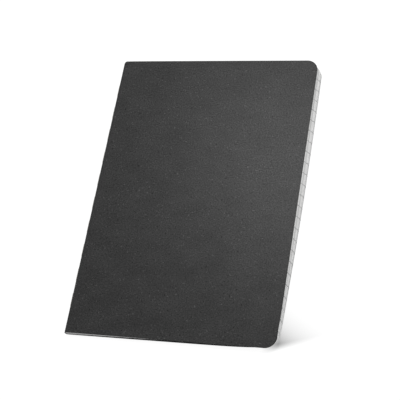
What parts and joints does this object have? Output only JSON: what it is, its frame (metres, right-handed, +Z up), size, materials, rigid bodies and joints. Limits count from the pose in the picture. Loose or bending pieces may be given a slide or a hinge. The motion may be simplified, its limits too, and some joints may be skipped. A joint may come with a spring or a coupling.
{
  "type": "composition notebook",
  "caption": "Thin sewn notebook with a plain dark card cover that opens front and back, rounded fore-edge corners and ruled white pages.",
  "frame": {"origin": "bottom centre of the notebook's box, on the surface it lies on", "axes": "+X from the spine to the fore-edge, +Y from the tail to the head, +Z up out of the front cover"},
  "size_m": [0.1508, 0.21, 0.0039],
  "materials": {
    "cover_card": "matt uncoated card with a fine fibrous grain",
    "page_paper": "matt writing paper with thin grey ruled lines",
    "thread": "twisted matt thread"
  },
  "bodies": {
    "block": {"page_block": "page_paper", "spine_fold": "cover_card", "sewing_thread": "thread"},
    "front_cover": {"front_cover": "cover_card"},
    "back_cover": {"back_cover": "cover_card"}
  },
  "joints": [
    {"name": "front_cover_hinge", "type": "hinge", "parent": "block", "child": "front_cover", "pos_m": [-0.07273, 0, 0.0039], "axis": [0, -1, 0], "range_deg": [0, 179]},
    {"name": "back_cover_hinge", "type": "hinge", "parent": "block", "child": "back_cover", "pos_m": [-0.07273, 0, 0], "axis": [0, 1, 0], "range_deg": [0, 179]}
  ]
}
